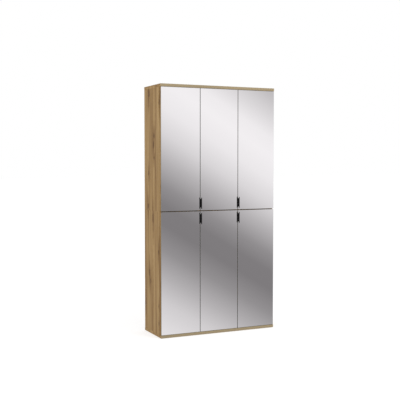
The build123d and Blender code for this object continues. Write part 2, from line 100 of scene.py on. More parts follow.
def mixColours(tree, amount, first, second, mode="MIX"):
    made = addNode(tree, "ShaderNodeMix", data_type="RGBA", blend_type=mode)
    for index, value in ((0, amount), (6, first), (7, second)):
        plug(tree, value, made.inputs[index])
    return made.outputs[2]


def mixValues(tree, amount, first, second):
    made = addNode(tree, "ShaderNodeMix", data_type="FLOAT")
    for index, value in ((0, amount), (2, first), (3, second)):
        plug(tree, value, made.inputs[index])
    return made.outputs[0]


def remap(tree, value, low, high, newLow=0.0, newHigh=1.0, curve="LINEAR"):
    made = addNode(tree, "ShaderNodeMapRange", {
        "Value": value, "From Min": low, "From Max": high, "To Min": newLow, "To Max": newHigh},
        interpolation_type=curve)
    return made.outputs["Result"]


def noise(tree, place, stretch, detail=2.0, roughness=0.5, output="Fac"):
    scaled = vectorCalc(tree, "MULTIPLY", place, stretch)
    return addNode(tree, "ShaderNodeTexNoise", {
        "Vector": scaled, "Scale": 1.0, "Detail": detail, "Roughness": roughness}).outputs[output]


def colourRamp(tree, value, stops):
    made = addNode(tree, "ShaderNodeValToRGB", {"Fac": value})
    elements = made.color_ramp.elements
    while len(elements) < len(stops):
        elements.new(1.0)
    for element, (position, colour) in zip(elements, stops):
        element.position = position
        element.color = colour
    return made.outputs["Color"]


def rgb(red, green, blue):
    # display values from 0 to 255, as a linear colour
    shares = [value / 255 for value in (red, green, blue)]
    return (*[s / 12.92 if s < 0.0405 else ((s + 0.055) / 1.055) ** 2.4 for s in shares], 1.0)


def newMaterial(name):
    made = bpy.data.materials.new(name)
    made.use_nodes = True
    tree = made.node_tree
    tree.nodes.clear()
    shader = addNode(tree, "ShaderNodeBsdfPrincipled")
    addNode(tree, "ShaderNodeOutputMaterial", {"Surface": shader.outputs[0]})
    place = addNode(tree, "ShaderNodeTexCoord").outputs["Object"]
    return made, tree, shader, place


def addBump(tree, shader, height, strength, distance):
    bump = addNode(tree, "ShaderNodeBump", {"Height": height, "Strength": strength, "Distance": distance})
    plug(tree, bump.outputs["Normal"], shader.inputs["Normal"])


print("wardrobe: oak board")
oakLook = {
    "light": (176, 146, 99),
    "middle": (153, 122, 76),
    "dark": (124, 93, 51),
    "knot": (84, 50, 14),
    "crack": (50, 28, 8),
    "bandsPerMetre": 24,
    "streaksPerMetre": 150,
    "poresPerMetre": 800,
    "ringSpacing": 0.007,
    "knotCells": (7.0, 7.0, 4.5),      # chance knots, cells per metre
    "knotShare": 0.55,
    "knotDepth": 0.04,                 # how far a listed knot reaches into the board
    "upperShift": 1.37,                # the upper module is cut from another stretch of the print
    "roughness": 0.52,
}

# knots on the outer face of the left side: y and z of the middle, half width, half height
sideKnots = [
    (0.081, 1.911, 0.019, 0.034), (-0.133, 1.832, 0.011, 0.036), (-0.027, 1.575, 0.014, 0.026),
    (-0.014, 1.505, 0.017, 0.032), (-0.026, 1.401, 0.012, 0.020), (0.091, 1.283, 0.012, 0.022),
    (0.105, 1.019, 0.014, 0.026), (0.001, 0.930, 0.015, 0.044), (-0.117, 0.672, 0.012, 0.026),
    (0.083, 0.490, 0.013, 0.034), (0.051, 0.425, 0.012, 0.026), (0.163, 0.228, 0.013, 0.024),
    (-0.120, 0.247, 0.010, 0.022), (-0.119, 0.112, 0.010, 0.028),
]


def placedKnots():
    # distance to the nearest knot of the list, 1 at its rim, and the same for its long dark tail
    tree = bpy.data.node_groups.new("placedKnots", "ShaderNodeTree")
    tree.interface.new_socket(name="Place", in_out="INPUT", socket_type="NodeSocketVector")
    tree.interface.new_socket(name="Rim", in_out="OUTPUT", socket_type="NodeSocketFloat")
    tree.interface.new_socket(name="Tail", in_out="OUTPUT", socket_type="NodeSocketFloat")
    place = addNode(tree, "NodeGroupInput").outputs["Place"]
    output = addNode(tree, "NodeGroupOutput")
    for socket, taller, wider in (("Rim", 1.0, 1.0), ("Tail", 4.0, 1.1)):
        nearest = 9.0
        for y, z, halfWidth, halfHeight in sideKnots:
            away = vectorCalc(tree, "SUBTRACT", place, (sideX, y, z))
            size = (1 / oakLook["knotDepth"], 1 / (halfWidth * wider), 1 / (halfHeight * taller))
            scaled = vectorCalc(tree, "MULTIPLY", away, size)
            nearest = calc(tree, "MINIMUM", nearest, vectorCalc(tree, "LENGTH", scaled))
        plug(tree, nearest, output.inputs[socket])
    return tree


def oakDecor():
    # a knotty oak print: grain along Z, the same on every board, with colour, height and roughness
    look = oakLook
    tree = bpy.data.node_groups.new("oakDecor", "ShaderNodeTree")
    tree.interface.new_socket(name="Place", in_out="INPUT", socket_type="NodeSocketVector")
    for label, value in (("Rim", 9.0), ("Tail", 9.0), ("Chance", 1.0)):
        socket = tree.interface.new_socket(name=label, in_out="INPUT", socket_type="NodeSocketFloat")
        socket.default_value = value
    tree.interface.new_socket(name="Colour", in_out="OUTPUT", socket_type="NodeSocketColor")
    tree.interface.new_socket(name="Height", in_out="OUTPUT", socket_type="NodeSocketFloat")
    tree.interface.new_socket(name="Roughness", in_out="OUTPUT", socket_type="NodeSocketFloat")
    source = addNode(tree, "NodeGroupInput")
    place = source.outputs["Place"]

    drift = noise(tree, place, (9.0, 9.0, 1.6), 2.0, output="Color")
    drift = vectorCalc(tree, "SUBTRACT", drift, (0.5, 0.5, 0.5))
    wavy = vectorCalc(tree, "ADD", place, vectorCalc(tree, "MULTIPLY", drift, (0.035, 0.035, 0.0)))

    bands = noise(tree, wavy, (look["bandsPerMetre"], look["bandsPerMetre"], 0.9), 1.5)
    streaks = noise(tree, wavy, (look["streaksPerMetre"], look["streaksPerMetre"], 3.5), 3.0, 0.6)
    pores = noise(tree, wavy, (look["poresPerMetre"], look["poresPerMetre"], 26.0), 1.0)

    folded = addNode(tree, "ShaderNodeSeparateXYZ", {"Vector": wavy})
    arch = calc(tree, "PINGPONG", folded.outputs["Z"], 0.63)
    across = addNode(tree, "ShaderNodeCombineXYZ", {
        "X": calc(tree, "WRAP", folded.outputs["X"], 0.13, -0.13),
        "Y": calc(tree, "WRAP", folded.outputs["Y"], 0.11, -0.11),
        "Z": calc(tree, "MULTIPLY", arch, 0.13)}).outputs["Vector"]
    rings = calc(tree, "MULTIPLY", vectorCalc(tree, "LENGTH", across), 2 * math.pi / look["ringSpacing"])
    rings = calc(tree, "SINE", calc(tree, "ADD", rings, calc(tree, "MULTIPLY", streaks, 5.0)))

    cells = addNode(tree, "ShaderNodeTexVoronoi", {
        "Vector": vectorCalc(tree, "MULTIPLY", wavy, look["knotCells"]), "Scale": 1.0, "Randomness": 0.9})
    chosen = addNode(tree, "ShaderNodeSeparateColor", {"Color": cells.outputs["Color"]}).outputs["Red"]
    chosen = calc(tree, "GREATER_THAN", chosen, 1 - look["knotShare"])
    chosen = calc(tree, "MULTIPLY", chosen, source.outputs["Chance"])
    chance = calc(tree, "DIVIDE", cells.outputs["Distance"], 0.11)
    chance = calc(tree, "ADD", chance, calc(tree, "MULTIPLY", calc(tree, "SUBTRACT", 1.0, chosen), 9.0))

    rough = noise(tree, place, (70.0, 70.0, 50.0), 2.0)
    ragged = calc(tree, "MULTIPLY", calc(tree, "SUBTRACT", rough, 0.5), 0.9)
    rim = calc(tree, "ADD", calc(tree, "MINIMUM", chance, source.outputs["Rim"]), ragged)
    tail = calc(tree, "MINIMUM", calc(tree, "MULTIPLY", chance, 0.45), source.outputs["Tail"])
    knot = remap(tree, rim, 1.15, 0.6, curve="SMOOTHSTEP")
    halo = remap(tree, calc(tree, "ADD", tail, ragged), 1.5, 0.2, curve="SMOOTHSTEP")
    knotRings = calc(tree, "SINE", calc(tree, "MULTIPLY", rim, 16.0))

    tone = calc(tree, "MULTIPLY_ADD", calc(tree, "SUBTRACT", bands, 0.5), 1.5, 0.5)
    tone = calc(tree, "MULTIPLY_ADD", calc(tree, "SUBTRACT", streaks, 0.5), 0.65, tone)
    tone = calc(tree, "MULTIPLY_ADD", rings, 0.045, tone)
    tone = calc(tree, "MULTIPLY_ADD", halo, -0.5, tone)
    colour = colourRamp(tree, tone, [
        (0.12, rgb(*look["dark"])), (0.5, rgb(*look["middle"])), (0.88, rgb(*look["light"]))])
    poreDepth = remap(tree, pores, 0.62, 0.74)
    colour = mixColours(tree, calc(tree, "MULTIPLY", poreDepth, 0.22), colour, rgb(*look["dark"]), "MULTIPLY")
    ringShade = remap(tree, knotRings, -1.0, 1.0, 0.15, 0.75)
    knotColour = mixColours(tree, ringShade, rgb(*look["knot"]), rgb(*look["dark"]))
    colour = mixColours(tree, calc(tree, "MULTIPLY", knot, 0.9), colour, knotColour)

    splits = addNode(tree, "ShaderNodeTexVoronoi", {
        "Vector": vectorCalc(tree, "MULTIPLY", wavy, (95.0, 95.0, 32.0)), "Scale": 1.0},
        feature="DISTANCE_TO_EDGE").outputs["Distance"]
    split = calc(tree, "MULTIPLY", remap(tree, splits, 0.07, 0.02), remap(tree, rim, 0.75, 0.35))
    colour = mixColours(tree, calc(tree, "MULTIPLY", split, 0.85), colour, rgb(*look["crack"]))

    height = calc(tree, "MULTIPLY_ADD", poreDepth, -0.5, streaks)
    height = calc(tree, "MULTIPLY_ADD", split, -0.8, height)
    gloss = calc(tree, "MULTIPLY_ADD", calc(tree, "SUBTRACT", streaks, 0.5), 0.16, look["roughness"])
    gloss = calc(tree, "MULTIPLY_ADD", poreDepth, 0.1, gloss)

    output = addNode(tree, "NodeGroupOutput")
    plug(tree, colour, output.inputs["Colour"])
    plug(tree, height, output.inputs["Height"])
    plug(tree, gloss, output.inputs["Roughness"])
    return tree


oakTree = oakDecor()
knotTree = placedKnots()


def oakMaterial(name, grain, frontEdge=None, shift=(0.0, 0.0, 0.0), knots=False):
    made, tree, shader, place = newMaterial(name)
    apart = addNode(tree, "ShaderNodeSeparateXYZ", {"Vector": place})
    x, y, z = (apart.outputs[axis] for axis in "XYZ")
    above = calc(tree, "GREATER_THAN", z, seamZ)
    if grain == "Z":
        turned = place
    else:
        turned = addNode(tree, "ShaderNodeCombineXYZ", {"X": z, "Y": y, "Z": x}).outputs["Vector"]
    upper = calc(tree, "MULTIPLY_ADD", above, oakLook["upperShift"], shift[1])
    jump = addNode(tree, "ShaderNodeCombineXYZ", {
        "X": shift[0], "Y": upper, "Z": shift[2]}).outputs["Vector"]
    group = addNode(tree, "ShaderNodeGroup", node_tree=oakTree)
    plug(tree, vectorCalc(tree, "ADD", turned, jump), group.inputs["Place"])
    if knots:
        placed = addNode(tree, "ShaderNodeGroup", node_tree=knotTree)
        plug(tree, place, placed.inputs["Place"])
        plug(tree, placed.outputs["Rim"], group.inputs["Rim"])
        plug(tree, placed.outputs["Tail"], group.inputs["Tail"])
        group.inputs["Chance"].default_value = 0.0
    colour = group.outputs["Colour"]
    if frontEdge:
        # painted light: the front faces of the lying boards are mixed towards a paler, greyer tone that
        # stands in for the light their lit fronts catch
        edge = calc(tree, "LESS_THAN", y, frontY + 0.0008)
        colour = mixColours(tree, calc(tree, "MULTIPLY", edge, 0.75), colour, rgb(*frontEdge))
    plug(tree, colour, shader.inputs["Base Color"])
    plug(tree, group.outputs["Roughness"], shader.inputs["Roughness"])
    shader.inputs["Specular IOR Level"].default_value = 0.25
    addBump(tree, shader, group.outputs["Height"], 0.35, 0.0003)
    return made


oakUpright = oakMaterial("oakUpright", "Z")
oakSide = oakMaterial("oakSide", "Z", knots=True)
# the colour given for frontEdge is painted light, a paler tone for the lit front faces of these boards
oakLying = oakMaterial("oakLying", "X", frontEdge=(142, 132, 108), shift=(0.31, 0.0, 0.0))


print("wardrobe: back panel")
backLook = {
    "inside": (206, 196, 178),
    "rear": (146, 112, 78),
    "fibre": (112, 82, 54),
}


def backMaterial():
    # pale lacquered face inside, bare hardboard behind
    look = backLook
    made, tree, shader, place = newMaterial("backPanelFaces")
    y = addNode(tree, "ShaderNodeSeparateXYZ", {"Vector": place}).outputs["Y"]
    behind = calc(tree, "GREATER_THAN", y, rearY - 0.0015)
    fibres = noise(tree, place, (420.0, 420.0, 420.0), 4.0, 0.75)
    clouds = noise(tree, place, (14.0, 14.0, 14.0), 3.0)
    raw = mixColours(tree, remap(tree, fibres, 0.35, 0.68), rgb(*look["fibre"]), rgb(*look["rear"]))
    raw = mixColours(tree, remap(tree, clouds, 0.3, 0.7, 0.0, 0.25), raw, rgb(*look["fibre"]))
    faint = remap(tree, clouds, 0.3, 0.7, 0.0, 0.08)
    lacquer = mixColours(tree, faint, rgb(*look["inside"]), rgb(*look["rear"]))
    plug(tree, mixColours(tree, behind, lacquer, raw), shader.inputs["Base Color"])
    plug(tree, remap(tree, behind, 0.0, 1.0, 0.45, 0.85), shader.inputs["Roughness"])
    addBump(tree, shader, fibres, 0.3, 0.0004)
    return made


print("wardrobe: mirror glass")
mirrorLook = {
    "silver": (0.93, 0.94, 0.94, 1.0),
    "edge": (84, 96, 90),
    "roughness": 0.015,
    "smudge": 0.012,
}


def mirrorMaterial():
    # silver from the front, green float glass round the cut edges
    look = mirrorLook
    made, tree, shader, place = newMaterial("mirrorGlass")
    y = addNode(tree, "ShaderNodeSeparateXYZ", {"Vector": place}).outputs["Y"]
    front = calc(tree, "LESS_THAN", y, frontY + 0.0002)
    smudges = noise(tree, place, (5.0, 5.0, 3.0), 4.0, 0.7)
    plug(tree, mixColours(tree, front, rgb(*look["edge"]), look["silver"]), shader.inputs["Base Color"])
    plug(tree, front, shader.inputs["Metallic"])
    gloss = remap(tree, smudges, 0.4, 0.75, look["roughness"], look["roughness"] + look["smudge"])
    plug(tree, mixValues(tree, front, 0.25, gloss), shader.inputs["Roughness"])
    return made


print("wardrobe: metals, nylon and rubber")
powderLook = {"colour": (9, 7, 8), "worn": (34, 31, 32), "roughness": 0.5, "shine": 0.16}


def powderCoat():
    look = powderLook
    made, tree, shader, place = newMaterial("blackPowderCoat")
    grit = noise(tree, place, (2600.0, 2600.0, 2600.0), 2.0)
    patches = noise(tree, place, (60.0, 60.0, 60.0), 3.0)
    rubbed = remap(tree, patches, 0.55, 0.85, 0.0, 0.25)
    colour = mixColours(tree, rubbed, rgb(*look["colour"]), rgb(*look["worn"]))
    plug(tree, colour, shader.inputs["Base Color"])
    shader.inputs["Specular IOR Level"].default_value = look["shine"]
    gloss = remap(tree, grit, 0.3, 0.7, look["roughness"] - 0.06, look["roughness"] + 0.08)
    plug(tree, gloss, shader.inputs["Roughness"])
    addBump(tree, shader, grit, 0.25, 0.0001)
    return made


def platedMetal(name, colour, shade, roughness, brushed):
    # plated steel or zinc: brushed along its length, or cloudy where it is cast or tumbled
    made, tree, shader, place = newMaterial(name)
    grain = noise(tree, place, brushed, 3.0, 0.6)
    clouds = noise(tree, place, (45.0, 45.0, 45.0), 3.0)
    tint = mixColours(tree, remap(tree, clouds, 0.3, 0.7), rgb(*colour), rgb(*shade))
    plug(tree, tint, shader.inputs["Base Color"])
    shader.inputs["Metallic"].default_value = 1.0
    plug(tree, remap(tree, grain, 0.3, 0.7, roughness * 0.7, roughness * 1.4), shader.inputs["Roughness"])
    addBump(tree, shader, grain, 0.05, 0.0001)
    return made


def softPlastic(name, colour, roughness, see=0.0):
    made, tree, shader, place = newMaterial(name)
    grit = noise(tree, place, (900.0, 900.0, 900.0), 2.0)
    shade = mixColours(tree, remap(tree, grit, 0.3, 0.7, 0.0, 0.3), rgb(*colour), (0.0, 0.0, 0.0, 1.0))
    plug(tree, shade, shader.inputs["Base Color"])
    plug(tree, remap(tree, grit, 0.3, 0.7, roughness, roughness + 0.12), shader.inputs["Roughness"])
    shader.inputs["Transmission Weight"].default_value = see
    addBump(tree, shader, grit, 0.15, 0.0001)
    return made


finishes = {
    "oak_board": oakUpright,
    "back_panel": backMaterial(),
    "mirror_glass": mirrorMaterial(),
    "black_metal": powderCoat(),
    "bright_steel": platedMetal("nickelPlate", (196, 194, 190), (176, 174, 171), 0.24, (60.0, 60.0, 900.0)),
    "chromed_tube": platedMetal("chromedTube", (214, 215, 218), (200, 201, 204), 0.09, (700.0, 40.0, 700.0)),
    "zinc": platedMetal("castZinc", (168, 170, 174), (146, 149, 154), 0.38, (500.0, 500.0, 500.0)),
    "black_nylon": softPlastic("blackNylon", (26, 26, 27), 0.5),
    "clear_rubber": softPlastic("clearBumper", (214, 214, 208), 0.25, 0.35),
}
lyingBoards = ("top_board", "bottom_board", "middle_board_lower", "middle_board_upper", "hat_shelf")

print("wardrobe: dressing the CAD nodes")
for part in frame["record"]["subparts"]:
    name = part["node"]
    material = finishes[part["material_slot"]]
    if name in lyingBoards or "_shelf_" in name:
        material = oakLying
    elif name.startswith("left_side"):
        material = oakSide
    for slot in cadNodes[name].material_slots:
        slot.material = material


def newShapeTree(name, sizes):
    # a Geometry Nodes tree with a named input for each size
    tree = bpy.data.node_groups.new(name, "GeometryNodeTree")
    tree.interface.new_socket(name="Geometry", in_out="INPUT", socket_type="NodeSocketGeometry")
    for label in sizes:
        tree.interface.new_socket(name=label, in_out="INPUT", socket_type="NodeSocketFloat")
    tree.interface.new_socket(name="Finish", in_out="INPUT", socket_type="NodeSocketMaterial")
    tree.interface.new_socket(name="Geometry", in_out="OUTPUT", socket_type="NodeSocketGeometry")
    return tree, addNode(tree, "NodeGroupInput").outputs


def endShapeTree(tree, shape, finish):
    # real meshes, smooth but for edges over about 35 degrees, in the given finish
    real = addNode(tree, "GeometryNodeRealizeInstances", {"Geometry": shape}).outputs[0]
    smooth = addNode(tree, "GeometryNodeSetShadeSmooth", {
        "Geometry": real, "Shade Smooth": True}, domain="FACE")
    angle = addNode(tree, "GeometryNodeInputMeshEdgeAngle").outputs["Unsigned Angle"]
    crease = addNode(tree, "FunctionNodeCompare", data_type="FLOAT", operation="GREATER_THAN")
    plug(tree, angle, crease.inputs[0])
    plug(tree, 0.6, crease.inputs[1])
    sharp = addNode(tree, "GeometryNodeSetShadeSmooth", {
        "Geometry": smooth.outputs[0], "Selection": crease.outputs[0], "Shade Smooth": False}, domain="EDGE")
    painted = addNode(tree, "GeometryNodeSetMaterial", {"Geometry": sharp.outputs[0], "Material": finish})
    addNode(tree, "NodeGroupOutput", {"Geometry": painted.outputs[0]})


def joinShapes(tree, *shapes):
    made = tree.nodes.new("GeometryNodeJoinGeometry")
    for shape in shapes:
        tree.links.new(shape, made.inputs[0])
    return made.outputs[0]


def point(tree, x=0.0, y=0.0, z=0.0):
    return addNode(tree, "ShaderNodeCombineXYZ", {"X": x, "Y": y, "Z": z}).outputs[0]


def moved(tree, shape, place=(0.0, 0.0, 0.0), scale=(1.0, 1.0, 1.0)):
    return addNode(tree, "GeometryNodeTransform", {
        "Geometry": shape, "Translation": place, "Scale": scale}).outputs[0]


def welded(tree, shape):
    return addNode(tree, "GeometryNodeMergeByDistance", {"Geometry": shape, "Distance": 1e-6}).outputs[0]


def dome(tree, radius, height, sides=20):
    # a low dome with a flat underside, standing on the XY plane: a curved profile swept round a circle
    path = addNode(tree, "GeometryNodeCurvePrimitiveCircle", {
        "Resolution": sides, "Radius": radius}, mode="RADIUS")
    inward = calc(tree, "MULTIPLY", radius, -1.0)
    upward = calc(tree, "MULTIPLY", height, -1.0)
    profile = addNode(tree, "GeometryNodeCurveQuadraticBezier", {
        "Resolution": 5, "Start": point(tree, inward, upward),
        "Middle": point(tree, calc(tree, "MULTIPLY", inward, 0.2), upward), "End": (0.0, 0.0, 0.0)})
    shell = addNode(tree, "GeometryNodeCurveToMesh", {
        "Curve": path.outputs[0], "Profile Curve": profile.outputs[0]}).outputs[0]
    base = addNode(tree, "GeometryNodeMeshCircle", {"Vertices": sides, "Radius": radius}, fill_type="NGON")
    base = addNode(tree, "GeometryNodeFlipFaces", {"Mesh": base.outputs[0]}).outputs[0]
    return welded(tree, joinShapes(tree, shell, base))


def onSpots(tree, spots, shape, scale=(1.0, 1.0, 1.0), spin=True):
    # a copy of the shape on every spot, its Z along the spot's own direction, turned by chance about it
    facing = addNode(tree, "GeometryNodeInputNamedAttribute", {"Name": "facing"}, data_type="FLOAT_VECTOR")
    turned = addNode(tree, "FunctionNodeAlignRotationToVector", {
        "Vector": facing.outputs[0]}, axis="Z").outputs[0]
    if spin:
        chance = addNode(tree, "FunctionNodeRandomValue", {"Seed": 7}, data_type="FLOAT")
        plug(tree, 0.0, chance.inputs[2])
        plug(tree, math.pi / 2, chance.inputs[3])
        about = addNode(tree, "FunctionNodeAxisAngleToRotation", {"Angle": chance.outputs[1]})
        turned = addNode(tree, "FunctionNodeRotateRotation", {
            "Rotation": turned, "Rotate By": about.outputs[0]}, rotation_space="LOCAL").outputs[0]
    return addNode(tree, "GeometryNodeInstanceOnPoints", {
        "Points": spots, "Instance": shape, "Rotation": turned, "Scale": scale}).outputs[0]


def grow(name, tree, spots, sizes, finish, body):
    # runs a tree on one vertex for each spot (place, direction, length) and keeps the result as a plain mesh
    holder = meshObject(name, [spot[0] for spot in spots], [])
    attributes = holder.data.attributes
    attributes.new("facing", "FLOAT_VECTOR", "POINT")
    attributes.new("length", "FLOAT", "POINT")
    for index, (_, direction, reach) in enumerate(spots):
        attributes["facing"].data[index].vector = direction
        attributes["length"].data[index].value = reach
    modifier = holder.modifiers.new("shape", "NODES")
    modifier.node_group = tree
    for item in tree.interface.items_tree:
        if item.in_out == "INPUT" and item.name in sizes:
            modifier[item.identifier] = sizes[item.name]
        elif item.in_out == "INPUT" and item.name == "Finish":
            modifier[item.identifier] = finish
    evaluated = holder.evaluated_get(bpy.context.evaluated_depsgraph_get())
    plain = bpy.data.meshes.new_from_object(evaluated)
    holder.modifiers.clear()
    spare = holder.data
    holder.data = plain
    bpy.data.meshes.remove(spare)
    plain.name = name
    plain.materials.clear()
    plain.materials.append(finish)
    plain.polygons.foreach_set("material_index", [0] * len(plain.polygons))
    for attribute in ("facing", "length"):
        if attribute in plain.attributes:
            plain.attributes.remove(plain.attributes[attribute])
    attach(holder, body)
    return holder


def solidsOf(nodeName):
    # lowest and highest corner and all vertices of each separate solid of a CAD node, read from a merged copy
    shape = bmesh.new()
    shape.from_mesh(cadNodes[nodeName].data)
    bmesh.ops.remove_doubles(shape, verts=shape.verts, dist=1e-6)
    seen = set()
    found = []
    for start in shape.verts:
        if start in seen:
            continue
        seen.add(start)
        waiting = [start]
        corners = []
        while waiting:
            vertex = waiting.pop()
            corners.append(vertex.co.copy())
            for edge in vertex.link_edges:
                other = edge.other_vert(vertex)
                if other not in seen:
                    seen.add(other)
                    waiting.append(other)
        low = Vector([min(corner[axis] for corner in corners) for axis in range(3)])
        high = Vector([max(corner[axis] for corner in corners) for axis in range(3)])
        found.append((low, high, corners))
    shape.free()
    return found


print("wardrobe: screws")
screwSizes = {"Head Radius": 0.0040, "Head Height": 0.0020, "Shank Radius": 0.0021, "Recess": 0.0023}
doorScrewSizes = {"Head Radius": 0.0034, "Head Height": 0.0013, "Shank Radius": 0.0017, "Recess": 0.0020}
doorScrewLook = {
    "acrossFromCup": 0.0095,        # flange screws from the middle of the hinge cup
    "upFromCup": 0.0225,
    "cupScrewLength": 0.011,
    "acrossPull": 0.0126,           # flange screws from the outer face of the pull's web
    "upPull": 0.025,
    "pullScrewLength": 0.012,
}


def crossHeadTree():
    tree, sizes = newShapeTree("crossHeadScrew", screwSizes)
    radius, height, recess = sizes["Head Radius"], sizes["Head Height"], sizes["Recess"]
    head = dome(tree, radius, height, 24)
    width = calc(tree, "MULTIPLY", recess, 0.34)
    deep = calc(tree, "MULTIPLY", height, 1.3)
    long = calc(tree, "MULTIPLY", recess, 2.0)
    cut = addNode(tree, "GeometryNodeMeshBoolean", operation="DIFFERENCE", solver="EXACT")
    plug(tree, head, cut.inputs[0])
    for size in (point(tree, long, width, deep), point(tree, width, long, deep)):
        bar = addNode(tree, "GeometryNodeMeshCube", {"Size": size}).outputs[0]
        plug(tree, moved(tree, bar, point(tree, z=height)), cut.inputs[1])
    head = welded(tree, cut.outputs[0])
    shank = addNode(tree, "GeometryNodeMeshCone", {
        "Vertices": 12, "Radius Top": sizes["Shank Radius"],
        "Radius Bottom": calc(tree, "MULTIPLY", sizes["Shank Radius"], 0.5), "Depth": 1.0}).outputs[0]
    shank = moved(tree, shank, (0.0, 0.0, -1.0))
    length = addNode(tree, "GeometryNodeInputNamedAttribute", {
        "Name": "length"}, data_type="FLOAT").outputs[0]
    heads = onSpots(tree, sizes["Geometry"], head)
    shanks = onSpots(tree, sizes["Geometry"], shank, point(tree, 1.0, 1.0, length))
    endShapeTree(tree, joinShapes(tree, heads, shanks), sizes["Finish"])
    return tree


def screwSpots():
    # each CAD screw: the point under its head, the way the head faces, and its length below the head
    spots = []
    for low, high, corners in solidsOf("wood_screws"):
        size = high - low
        axis = max(range(3), key=lambda index: size[index])
        middle = (low + high) / 2
        radius = min(size) / 2
        rim = []
        for corner in corners:
            away = corner - middle
            away[axis] = 0.0
            if away.length > 0.9 * radius:
                rim.append(corner[axis])
        direction = Vector((0.0, 0.0, 0.0))
        direction[axis] = 1.0 if min(rim) > middle[axis] else -1.0
        under = min(rim) if direction[axis] > 0 else max(rim)
        length = under - low[axis] if direction[axis] > 0 else high[axis] - under
        middle[axis] = under
        spots.append((middle, direction, length))
    return spots


def doorScrewSpots(column, row):
    # screws through the hinge-cup flanges and, where there is a pull, through its flange
    look = doorScrewLook
    inward = 1.0 if column == "left" else -1.0      # from the hinge edge to the free edge
    spots = []
    for low, high, _ in solidsOf(f"{column}_hinge_cups_{row}"):
        middle = (low + high) / 2
        for up in (-look["upFromCup"], look["upFromCup"]):
            place = (middle.x + inward * look["acrossFromCup"], high.y, middle.z + up)
            spots.append((place, (0.0, 1.0, 0.0), look["cupScrewLength"]))
    if column != "left":
        low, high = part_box(f"{column}_pull_{row}")
        for up in (-look["upPull"], look["upPull"]):
            place = (low.x + look["acrossPull"], high.y, (low.z + high.z) / 2 + up)
            spots.append((place, (0.0, 1.0, 0.0), look["pullScrewLength"]))
    return spots


screwTree = crossHeadTree()
steelFinish = finishes["bright_steel"]
caseScrews = grow("caseScrews", screwTree, screwSpots(), screwSizes, steelFinish, "case")
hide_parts("wood_screws")
for row in doorRows:
    for column in doorColumns:
        grow(f"{column}DoorScrews_{row}", screwTree, doorScrewSpots(column, row), doorScrewSizes, steelFinish,
             f"{row}_{column}_door")


print("wardrobe: mirror panes")
paneSizes = {"Arris": 0.0007, "Corner": 0.0016}


def paneTree():
    # a sheet of glass: a ground edge swept round a rectangle with eased corners, then filled front and back
    labels = ("Width", "Height", "Thickness", "Arris", "Corner")
    tree, sizes = newShapeTree("mirrorPane", labels)
    width, height, thick, arris, corner = (sizes[label] for label in labels)
    sheet = addNode(tree, "GeometryNodeCurvePrimitiveQuadrilateral", {
        "Width": width, "Height": height}).outputs[0]
    outline = addNode(tree, "GeometryNodeFilletCurve", {
        "Curve": sheet, "Count": 4, "Radius": corner}, mode="POLY").outputs[0]
    backEdge = point(tree)
    shoulder = point(tree, 0.0, calc(tree, "SUBTRACT", arris, thick))
    frontEdge = point(tree, calc(tree, "MULTIPLY", arris, -1.0), calc(tree, "MULTIPLY", thick, -1.0))
    lines = []
    for start, end in ((frontEdge, shoulder), (shoulder, backEdge)):
        lines.append(addNode(tree, "GeometryNodeCurvePrimitiveLine", {"Start": start, "End": end}).outputs[0])
    border = welded(tree, addNode(tree, "GeometryNodeCurveToMesh", {
        "Curve": outline, "Profile Curve": joinShapes(tree, *lines)}).outputs[0])

    faces = addNode(tree, "GeometryNodeInputMeshEdgeNeighbors").outputs[0]
    rim = calc(tree, "LESS_THAN", faces, 1.5)
    place = addNode(tree, "GeometryNodeInputPosition").outputs[0]
    height = addNode(tree, "ShaderNodeSeparateXYZ", {"Vector": place}).outputs["Z"]
    inFront = calc(tree, "GREATER_THAN", height, calc(tree, "MULTIPLY", thick, 0.5))
    sides = []
    for chosen in (calc(tree, "MULTIPLY", rim, inFront), calc(tree, "SUBTRACT", rim, inFront)):
        edge = addNode(tree, "GeometryNodeMeshToCurve", {"Mesh": border, "Selection": chosen}).outputs[0]
        sides.append(addNode(tree, "GeometryNodeFillCurve", {"Curve": edge}, mode="NGONS").outputs[0])
    front = moved(tree, sides[0], point(tree, z=thick))
    back = addNode(tree, "GeometryNodeFlipFaces", {"Mesh": sides[1]}).outputs[0]
    pane = welded(tree, joinShapes(tree, border, front, back))
    endShapeTree(tree, onSpots(tree, sizes["Geometry"], pane, spin=False), sizes["Finish"])
    return tree


glassTree = paneTree()
for row in doorRows:
    for column in doorColumns:
        low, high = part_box(f"{column}_mirror_{row}")
        sizes = dict(paneSizes, Width=high.x - low.x, Height=high.z - low.z, Thickness=high.y - low.y)
        spot = ((low.x + high.x) / 2, high.y, (low.z + high.z) / 2)
        pane = grow(f"{column}MirrorPane_{row}", glassTree, [(spot, (0.0, -1.0, 0.0), 0.0)], sizes,
                    finishes["mirror_glass"], f"{row}_{column}_door")
        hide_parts(f"{column}_mirror_{row}")


print("wardrobe: nails of the back panels")
nailSizes = {"Inset": 0.007, "Spacing": 0.105, "Head Radius": 0.0024, "Head Height": 0.0006}


